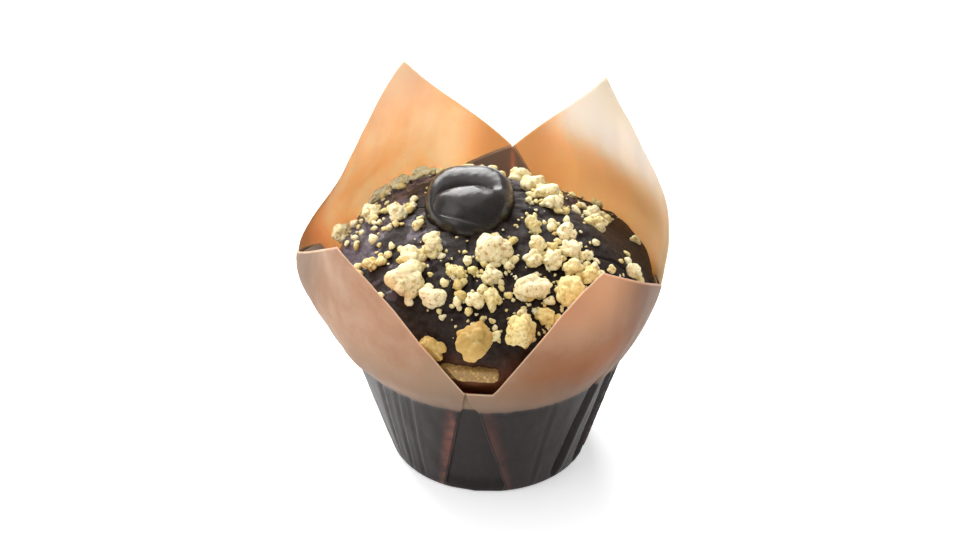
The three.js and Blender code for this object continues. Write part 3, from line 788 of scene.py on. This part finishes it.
def muffin_points():
    """The crust as rows by columns: the outline turned round the axis, moved out along its
    normal by crags and relief, and kept inside the paper."""
    radius, z, rough = muffin_outline()
    tilt = np.arctan2(-np.gradient(radius), np.gradient(z))
    angle = np.arange(MUFFIN_COLUMNS) / MUFFIN_COLUMNS * math.tau
    base = polar(radius[:, None], angle[None], z[:, None])
    out = rough[:, None] * (CRAGS * crag(angle[None], z[:, None]) + crust_relief(base))
    lean = tilt[:, None]
    point = base + polar(out * np.cos(lean), angle[None], out * np.sin(lean))
    point[..., 2] = sagged(point)
    point[..., 0] += CROWN_SHIFT * rough[:, None]
    return inside_case(point)


crust = muffin_points()
muffin_piece = shell_piece(
    "chocolate_muffin",
    (0, 0, INSIDE_CUP),
    crust,
    (CROWN_SHIFT, 0, crust[-1, :, 2].mean()),
)

CRUST_DARK = srgb(22, 12, 8)
CRUST_BROWN = srgb(46, 28, 18)
CRUST_BAKED = srgb(96, 54, 30)  # against the paper
# Painted sheen: the wet patches are lighter and lilac, like the room's reflection in them.
CRUST_WET_SHEEN = srgb(76, 64, 72)
WET_SPREAD = (-6.0, 5.0)  # how the wet patches grow to the right and to the back, a metre
CRUST_ROUGHNESS = (0.6, 0.22)  # where it is dry, and wet
CRUST_SHINE = 0.25
muffin_material, tree, shader = node_material("chocolate_crust")
crust_mask, crust_normal = grain(tree, 1.1, 0.35)
patch_mask, _ = grain(tree, 9.0, 0.0)
right_side, rear_side, crust_height = axes(tree)
patchy = linked(
    tree, "Math", {0: patch_mask, 1: 12 * MM, 2: crust_height}, operation="MULTIPLY_ADD"
)
crust_colour = coated(
    tree,
    CRUST_DARK,
    (CRUST_BROWN, 1, (crust_mask, 0.4, 0.7)),
    (CRUST_BAKED, 1, (patchy.outputs[0], 60 * MM, 52 * MM)),
)
# The wet patches are glossier, and their colour is a painted sheen.
wet = patch_mask
for side, growth in zip((right_side, rear_side), WET_SPREAD):
    wet = combine(tree, "ADD", wet, combine(tree, "MULTIPLY", side, growth))
wet = ramp(tree, wet, 0.55, 0.62)
fill(tree, shader, {
    "Base Color": blend(tree, wet, crust_colour, CRUST_WET_SHEEN),
    "Roughness": between(tree, wet, *CRUST_ROUGHNESS),
    "Specular IOR Level": CRUST_SHINE,
    "Normal": crust_normal,
})
muffin_piece.data.materials.append(muffin_material)
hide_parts("muffin")
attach(muffin_piece, "root")

# ---- crumble ----
# Butter crumble, rubbed by hand and strewn on the wet chocolate before baking: large lumps that
# are clusters of smaller ones, a flat stick, small crumbs and fine grains. It is pale cream and
# toasted on some of the lumps. The stick and what lies lowest at the front are browner, partly
# toasted and partly painted shade, and the lumps at the back are kept pale as painted light.
# The large lumps: azimuth, distance from the axis, and length, width, height.
LUMPS = np.array([
    [229, 31, 8.2, 8.2, 6.5], [222, 25.6, 5.6, 5.4, 4.6], [226, 20.8, 5, 5, 4.4],
    [249, 25, 4.8, 3.2, 3.2], [270, 18.6, 7.8, 7.6, 6], [268, 25.4, 4.2, 4.4, 3.8],
    [287, 29, 8.8, 5.6, 5], [243, 31.8, 7, 4.4, 4], [262, 30.8, 4.4, 4, 3.6],
    [269, 30.6, 3.4, 5.2, 3.4], [263, 37.6, 8, 8, 6.4], [279, 36.4, 7, 7.4, 6],
    [248, 39.2, 7.4, 6, 4.6], [290, 34.6, 4.4, 4, 3.4], [303, 31.8, 6.8, 7, 5.6],
    [295, 22.4, 4.2, 3.8, 3.4], [305, 24, 4.4, 4, 3.6], [313, 27.4, 5, 4.2, 3.8],
    [317, 30.6, 5.2, 3.8, 3.4], [330, 20, 4.4, 5.2, 4], [320, 23.8, 4.2, 5.2, 4],
    [315, 13.2, 3.4, 4.2, 3.4], [303, 18.6, 3.6, 4.6, 3.4], [68, 17.4, 5.4, 5, 4.6],
    [49, 14.6, 5.4, 5.6, 4.8], [25, 14, 5, 5.4, 4.6], [3, 14.4, 4.6, 4.4, 4],
    [26, 27.6, 4.4, 4, 3.4], [1, 25.4, 4.4, 4, 3.6], [341, 35.4, 4, 4, 3.2],
    [144, 35, 7.6, 3.4, 3], [134, 33.6, 7.4, 3.4, 3], [124, 31.8, 7, 3.4, 2.8],
    [169, 30.2, 5, 4.6, 4.2], [179, 23.2, 5, 4.4, 4], [167, 38, 5.2, 4.6, 4.2],
    [205, 32.4, 3.4, 3.4, 3], [100, 38.5, 4.4, 4, 3.2], [78, 38.5, 4.6, 4, 3.4],
])
BAR_AZIMUTH = 263.0  # of the stick
BAR_RADIUS = 40.0
BAR_HEIGHT = 48.4
BAR_SIZE = (14.0, 3.2, 3.4)
BAR_SQUARENESS = 6.0
# The stick is browner: partly toasted, partly painted shade.
BAR_TOAST_AND_SHADE = 2.2
SMALL_CRUMBS = 22
SMALL_SIZE = (1.9, 3.2)
SMALL_FLATNESS = 0.85
CRUMB_REACH = 38.0
CRUMB_SINK = 0.22
# Draws that each large lump, small crumb and the stick take in the solids. They are passed over
# here, so that the small crumbs lie in the same places.
COARSE_CORNERS = 42
FINE_CORNERS = 12
BAR_CORNERS = 20
# A cluster's balls, in a crumb of length 1: how far out, their radii, and the middle one's.
BALL_AWAY = (0.16, 0.34)
BALL_RADIUS = (0.13, 0.27)
CORE_RADIUS = 0.33
LIT_PALE_BEHIND = 14.0  # painted light: the lumps at the back are not toasted
LIT_PALE_FADE = 8.0
BROWN_SHADE_BEFORE = 31.0  # those at the front, against the paper, are browner: toasted, and painted shade
BROWN_SHADE_FADE = 5.0
BROWN_SHADE_LOW = 0.65
DOLLOP_MIDDLE = (-4.7, 0.8)
DOLLOP_HALF = (11.2, 13.2)
GRAINS = 760
GRAIN_SIZE = (0.5, 2.6)
GRAIN_POWERS = (1.8, 3.5)  # how fine most grains are, beside the lumps and elsewhere
GRAIN_FLATNESS = (0.6, 0.95)
GRAIN_LENGTH = 1.15
GRAIN_WIDTH = 0.95
GRAINS_BY_LUMPS = 0.62
LUMP_DRIFT = 3.4  # how far the grains beside a lump are strewn


def draws():
    """Repeatable random numbers from 0 to 1, from a linear congruence."""
    state = 7
    while True:
        state = (state * 1664525 + 1013904223) % 4294967296
        yield state / 4294967296


def crown_frames(azimuth, radius, height, turn):
    """Places and 3 by 3 turns that lay crumbs on the crown: each stands on the crown's normal,
    sunk by a share of its height, and is turned about that normal."""
    angle = np.radians(azimuth)
    rise = MUFFIN_TOP - MUFFIN_WIDEST
    z = MUFFIN_WIDEST + rise * np.sqrt(np.maximum(0, 1 - (radius / MUFFIN_RADIUS) ** 2))
    upward = np.maximum(z - MUFFIN_WIDEST, 0.1 * rise) / rise**2
    normal = polar(radius / MUFFIN_RADIUS**2, angle, upward)
    normal /= np.linalg.norm(normal, axis=-1, keepdims=True)
    place = polar(radius, angle, z)
    place[:, 2] = sagged(place)
    place += normal * (height * (0.5 - CRUMB_SINK))[:, None]
    place[:, 0] += CROWN_SHIFT
    cross = np.zeros((len(angle), 3, 3))
    cross[:, :2, 2] = normal[:, :2]
    cross[:, 2, :2] = -normal[:, :2]
    lay = np.eye(3) + cross + cross @ cross / (1 + normal[:, 2])[:, None, None]
    return place, lay @ turned_about_z(turn)


def turned_about_z(turn):
    """3 by 3 turns about the Z axis."""
    spin = np.zeros((len(turn), 3, 3))
    spin[:, 0, 0] = spin[:, 1, 1] = np.cos(turn)
    spin[:, 1, 0] = np.sin(turn)
    spin[:, 0, 1] = -np.sin(turn)
    spin[:, 2, 2] = 1
    return spin


def directions(rows, columns):
    """Unit directions on a globe whose poles lie on the X axis, the two poles as end rows."""
    down = np.linspace(0, math.pi, rows + 2)[:, None]
    round_it = np.arange(columns)[None] / columns * math.tau
    parts = (np.cos(down), np.sin(down) * np.cos(round_it), np.sin(down) * np.sin(round_it))
    return np.stack(np.broadcast_arrays(*parts), -1)


def cluster_reach(direction, count, balls, random):
    """For each crumb and direction, the farthest crossing of a ray from the middle with a
    cluster of balls, scaled to a mean of one half."""
    middle = random.normal(size=(count, balls, 3))
    away = random.uniform(*BALL_AWAY, (count, balls)) / np.linalg.norm(middle, axis=-1)
    middle *= away[..., None]
    radius = random.uniform(*BALL_RADIUS, (count, balls))
    middle[:, 0] = 0
    radius[:, 0] = CORE_RADIUS
    along = np.einsum("rcx,nbx->nbrc", direction, middle)
    inner = along**2 + (radius**2 - (middle**2).sum(-1))[..., None, None]
    reach = np.where(inner > 0, along + np.sqrt(np.maximum(inner, 0)), 0).max(1)
    return reach * 0.5 / reach.mean((1, 2), keepdims=True)


def crumbed(direction, reach, sizes, grit, seed):
    """Crumbs of their sizes from their reach in every direction, with two sizes of noise on
    top: crumbs by rows by columns of points, and the two end points of each."""
    point = direction * reach[..., None] * sizes[:, None, None, :]
    apart = point + 50.0 * np.arange(len(sizes))[:, None, None, None]
    push = value_noise(apart, 1.3, seed) + 0.6 * value_noise(apart, 0.6, seed + 1)
    point += direction * (grit * push)[..., None]
    return point[:, 1:-1], point[:, [0, -1]].mean(2)


def crumb_shapes(sizes, rows, columns, balls, grit, seed):
    """Crumbs that are clusters of balls."""
    direction = directions(rows, columns)
    reach = cluster_reach(direction, len(sizes), balls, np.random.default_rng(seed))
    return crumbed(direction, reach, sizes, grit, seed)


def stick_shape(size, rows, columns, grit, seed):
    """One crumb that is a box with round edges: a ball of a high power of its coordinates."""
    direction = directions(rows, columns)
    power = (np.abs(direction) ** BAR_SQUARENESS).sum(-1)
    reach = 0.5 / power ** (1 / BAR_SQUARENESS)
    return crumbed(direction, reach[None], np.array([size]), grit, seed)


def laid_crumbs(name, shapes, place, turn, toast_and_shading):
    """One joined mesh of crumbs that are turned, placed and kept inside the paper, each with its
    own degree of toasting."""
    point, ends = shapes
    count, rows, columns = point.shape[:3]
    local = np.concatenate([ends[:, :1], point.reshape(count, -1, 3), ends[:, 1:]], 1)
    world = np.einsum("nxy,npy->npx", turn, local) + place[:, None]
    world = inside_case(world)
    return mesh_piece(name, world, rows, columns, {"toast_and_shading": np.repeat(toast_and_shading, local.shape[1])})


def beside_dollop(x, y, margin):
    """Whether a place is off the dollop by more than a margin."""
    across = (x - DOLLOP_MIDDLE[0]) / (DOLLOP_HALF[0] + margin)
    along = (y - DOLLOP_MIDDLE[1]) / (DOLLOP_HALF[1] + margin)
    return np.hypot(across, along) > 1


def small_crumb_rows():
    """Azimuth, distance, length, width, height and turn of the small crumbs, in the order in
    which they are strewn; those that would land in the dollop are left out."""
    random = draws()
    for _ in range(COARSE_CORNERS * len(LUMPS) + BAR_CORNERS):
        next(random)
    crumbs = []
    while len(crumbs) < SMALL_CRUMBS:
        azimuth = 360 * next(random)
        radius = CRUMB_REACH * math.sqrt(next(random))
        size = mix(*SMALL_SIZE, next(random) ** 2)
        angle = math.radians(azimuth)
        if not beside_dollop(radius * math.cos(angle), radius * math.sin(angle), size):
            continue
        length = size * mix(0.9, 1.3, next(random))
        for _ in range(FINE_CORNERS):
            next(random)
        height = size * SMALL_FLATNESS
        crumbs.append((azimuth, radius, length, size, height, math.tau * next(random)))
    return np.array(crumbs)


lump_place, lump_turn = crown_frames(
    LUMPS[:, 0], LUMPS[:, 1], LUMPS[:, 4], np.radians(LUMPS[:, 0] + 90)
)
lump_toast_and_shading = np.random.default_rng(1539).uniform(0, 0.7, len(LUMPS))
# Painted light: the lumps at the back are left untoasted and pale.
lump_toast_and_shading *= 1 - smooth((lump_place[:, 1] - LIT_PALE_BEHIND) / LIT_PALE_FADE)
# Those at the front are browner: partly toasted, partly painted shade.
lump_toast_and_shading += BROWN_SHADE_LOW * smooth((-lump_place[:, 1] - BROWN_SHADE_BEFORE) / BROWN_SHADE_FADE)
lumps_piece = laid_crumbs(
    "crumble_lumps",
    crumb_shapes(LUMPS[:, 2:], rows=36, columns=64, balls=24, grit=0.34, seed=41),
    lump_place,
    lump_turn,
    lump_toast_and_shading,
)
bar_angle = math.radians(BAR_AZIMUTH)
bar_place = polar(BAR_RADIUS, np.array([bar_angle]), BAR_HEIGHT)
bar_piece = laid_crumbs(
    "crumble_stick",
    stick_shape(BAR_SIZE, rows=70, columns=56, grit=0.2, seed=43),
    bar_place,
    turned_about_z(np.array([bar_angle + math.pi / 2])),
    np.array([BAR_TOAST_AND_SHADE]),
)
small = small_crumb_rows()
small_piece = laid_crumbs(
    "small_crumbs",
    crumb_shapes(small[:, 2:5], rows=16, columns=28, balls=8, grit=0.12, seed=45),
    *crown_frames(small[:, 0], small[:, 1], small[:, 4], small[:, 5]),
    np.random.default_rng(33).uniform(0, 0.9, len(small)),
)


def grain_rows():
    """Azimuth, distance, size, flatness and turn of the fine grains. Some are strewn round the
    lumps, and the rest evenly over the crown, thinned out by a broad noise and on the smooth
    shoulder. None lies where the dollop is."""
    random = np.random.default_rng(51)
    tries = GRAINS * 8
    even = polar(
        CRUMB_REACH * np.sqrt(random.uniform(0, 1, tries)), random.uniform(0, math.tau, tries), 0
    )
    lump = LUMPS[random.integers(len(LUMPS), size=tries)]
    beside = polar(lump[:, 1], np.radians(lump[:, 0]), 0)
    beside += random.normal(0, LUMP_DRIFT, (tries, 3))
    by_lump = random.uniform(0, 1, tries) < GRAINS_BY_LUMPS
    place = np.where(by_lump[:, None], beside, even)
    azimuth = np.degrees(np.arctan2(place[:, 1], place[:, 0]))
    radius = np.hypot(place[:, 0], place[:, 1])
    size = mix(*GRAIN_SIZE, random.uniform(0, 1, tries) ** np.where(by_lump, *GRAIN_POWERS))
    flat = random.uniform(*GRAIN_FLATNESS, tries)
    turn = random.uniform(0, math.tau, tries)
    place[:, 2] = 0
    drift = smooth(0.45 + 0.9 * value_noise(place, 8.0, 52))
    smooth_crust = np.hypot(*(place - SMOOTH_SHOULDER).T[:2]) / SMOOTH_REACH
    chance = np.where(by_lump, 0.7, drift) * mix(0.1, 1, smooth(smooth_crust - 0.2))
    wanted = random.uniform(0, 1, tries) < chance
    wanted &= beside_dollop(place[:, 0], place[:, 1], size) & (radius < CRUMB_REACH)
    return np.stack([azimuth, radius, size, flat, turn], -1)[wanted][:GRAINS]


grains = grain_rows()
size, flatness = grains[:, 2], grains[:, 3]
grain_sizes = np.stack([size * GRAIN_LENGTH, size * GRAIN_WIDTH, size * flatness], -1)
grains_piece = laid_crumbs(
    "crumble_grains",
    crumb_shapes(grain_sizes, rows=7, columns=12, balls=9, grit=0.08, seed=47),
    *crown_frames(grains[:, 0], grains[:, 1], grain_sizes[:, 2], grains[:, 4]),
    np.random.default_rng(35).uniform(0, 1, len(grains)),
)

CRUMBLE_PALE = srgb(242, 228, 186)
CRUMBLE_YELLOW = srgb(226, 204, 136)
CRUMBLE_TOASTED = srgb(188, 150, 76)
# Browned, partly by toasting and partly as painted shade.
CRUMBLE_BROWN_SHADE = srgb(138, 106, 58)
CRUMBLE_TRANSLUCENCE = 0.3
CRUMBLE_SCATTER = (1.0, 0.8, 0.45)
CRUMBLE_DEPTH = 2.0
CRUMBLE_ROUGHNESS = (0.45, 0.85)
crumble_material, tree, shader = node_material("butter_crumble")
crumble_mask, crumble_normal = grain(tree, 0.9, 0.3)
spots, _ = grain(tree, 3.0, 0.0)
toast_and_shading = combine(tree, "MULTIPLY", carried(tree, "toast_and_shading"), 0.7)
toast_and_shading = combine(tree, "ADD", toast_and_shading, combine(tree, "SUBTRACT", spots, 0.5))
crumble_colour = coated(
    tree,
    CRUMBLE_PALE,
    (CRUMBLE_YELLOW, 1, (toast_and_shading, 0.0, 0.55)),
    (CRUMBLE_TOASTED, 1, (toast_and_shading, 0.5, 1.0)),
    (CRUMBLE_BROWN_SHADE, 1, (toast_and_shading, 1.0, 1.6)),
    (CRUMBLE_TOASTED, 1, (crumble_mask, 0.5, 0.32)),
)
fill(tree, shader, {
    "Base Color": crumble_colour,
    "Roughness": between(tree, crumble_mask, *CRUMBLE_ROUGHNESS),
    "Subsurface Weight": CRUMBLE_TRANSLUCENCE,
    "Subsurface Radius": CRUMBLE_SCATTER,
    "Subsurface Scale": CRUMBLE_DEPTH * MM,
    "Normal": crumble_normal,
})
for piece in (lumps_piece, bar_piece, small_piece, grains_piece):
    piece.data.materials.append(crumble_material)
    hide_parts("muffin")
    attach(piece, "root")

# ---- chocolate dollop ----
# Soft chocolate, dropped on the crown from a spoon and slumped there: a low mound that is folded
# over itself once, with a crease behind its top that runs round its left side to the front. It is
# glossy.
DOLLOP_FOOT = 62.0
DOLLOP_SHOULDER = 68.0
DOLLOP_MOUND = 75.2
MOUND_FULLNESS = 3.0  # how flat the mound's top is from front to back, and how much more across
MOUND_BREADTH = 3.0
FOLD_PITCH = 0.95  # from one turn of the crease to the next, as a share of the radius
FOLD_START = 0.06
FOLD_STRETCH = 2.5  # the turns are this much longer across than front to back
FOLD_SHIFT = 0.3  # how far to the right of the mound's middle they start
FOLD_FRONT = 0.24  # and how far to the front of it
FOLD_RIDGE = 3.2
FOLD_CALM = 0.12  # radius of the calm middle, as a share
FOLD_MIDDLE = 0.4  # share of the fold's height there
FOLD_ROUND = 1.02  # just over 1, so that the crease is not a sharp cut
FOLD_LEVEL = 0.45
DOLLOP_COLUMNS = 240
DOLLOP_RINGS = 90
FOOT_SHARE = 0.9  # of the radius, at the foot
DOLLOP_WAVES = ((0.12, 3.5, 61), (0.04, 1.2, 62))  # depth, cell and seed of each noise


def dollop_height(share, angle):
    """Height at a share of the radius: a mound, sqrt(1 - share^fullness), that carries one round
    fold. The fold's crease is a spiral in a plan that is squeezed across, and the fold calms
    down in the middle and at the edge."""
    fullness = MOUND_FULLNESS + MOUND_BREADTH * np.cos(angle) ** 2
    mound = mix(DOLLOP_SHOULDER, DOLLOP_MOUND, np.sqrt(1 - share**fullness))
    across = (share * np.cos(angle) - FOLD_SHIFT) / FOLD_STRETCH
    along = share * np.sin(angle) + FOLD_FRONT
    reach = np.hypot(across, along)
    turn = reach / FOLD_PITCH - np.arctan2(along, across) / math.tau + FOLD_START
    side = np.abs(2 * (turn - np.floor(turn)) - 1)
    fold = np.sqrt(FOLD_ROUND - side**2) - FOLD_LEVEL
    ridge = mix(FOLD_MIDDLE, fold, smooth(reach / FOLD_CALM))
    return mound + FOLD_RIDGE * ridge * (1 - share**8)


def dollop_points():
    """The dollop as rows by columns: its foot, its flank, and the dome in rings that lie closer
    towards its steep edge."""
    angle = np.arange(DOLLOP_COLUMNS)[None] / DOLLOP_COLUMNS * math.tau
    share = np.sin(np.linspace(math.pi / 2, 0, DOLLOP_RINGS + 1)[:-1])[:, None]
    flank = np.linspace(0, 1, 8)[:-1, None]
    shares = np.concatenate([mix(FOOT_SHARE, 1, np.sqrt(flank)), share])
    low = mix(DOLLOP_FOOT, DOLLOP_SHOULDER, flank) + 0 * angle
    z = np.concatenate([low, dollop_height(share, angle)])
    x = DOLLOP_MIDDLE[0] + DOLLOP_HALF[0] * shares * np.cos(angle)
    y = DOLLOP_MIDDLE[1] + DOLLOP_HALF[1] * shares * np.sin(angle)
    point = np.stack(np.broadcast_arrays(x, y, z), -1).copy()
    point[..., 2] += layered_noise(point, DOLLOP_WAVES)
    return point


dollop_skin = dollop_points()
dollop_piece = shell_piece(
    "folded_chocolate",
    (*DOLLOP_MIDDLE, DOLLOP_FOOT),
    dollop_skin,
    (*DOLLOP_MIDDLE, dollop_skin[-1, :, 2].mean()),
)
CHOCOLATE_DARK = srgb(22, 16, 12)
CHOCOLATE_PALE = srgb(34, 26, 20)
CHOCOLATE_ROUGHNESS = (0.2, 0.32)
CHOCOLATE_IOR = 1.47
dollop_material, tree, shader = node_material("wet_chocolate")
chocolate_mask, chocolate_normal = grain(tree, 2.6, 0.06)
fill(tree, shader, {
    "Base Color": coated(tree, CHOCOLATE_DARK, (CHOCOLATE_PALE, 1, (chocolate_mask, 0.35, 0.65))),
    "Roughness": between(tree, chocolate_mask, *CHOCOLATE_ROUGHNESS),
    "IOR": CHOCOLATE_IOR,
    "Normal": chocolate_normal,
})
dollop_piece.data.materials.append(dollop_material)
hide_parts("chocolate_dollop")
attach(dollop_piece, "root")
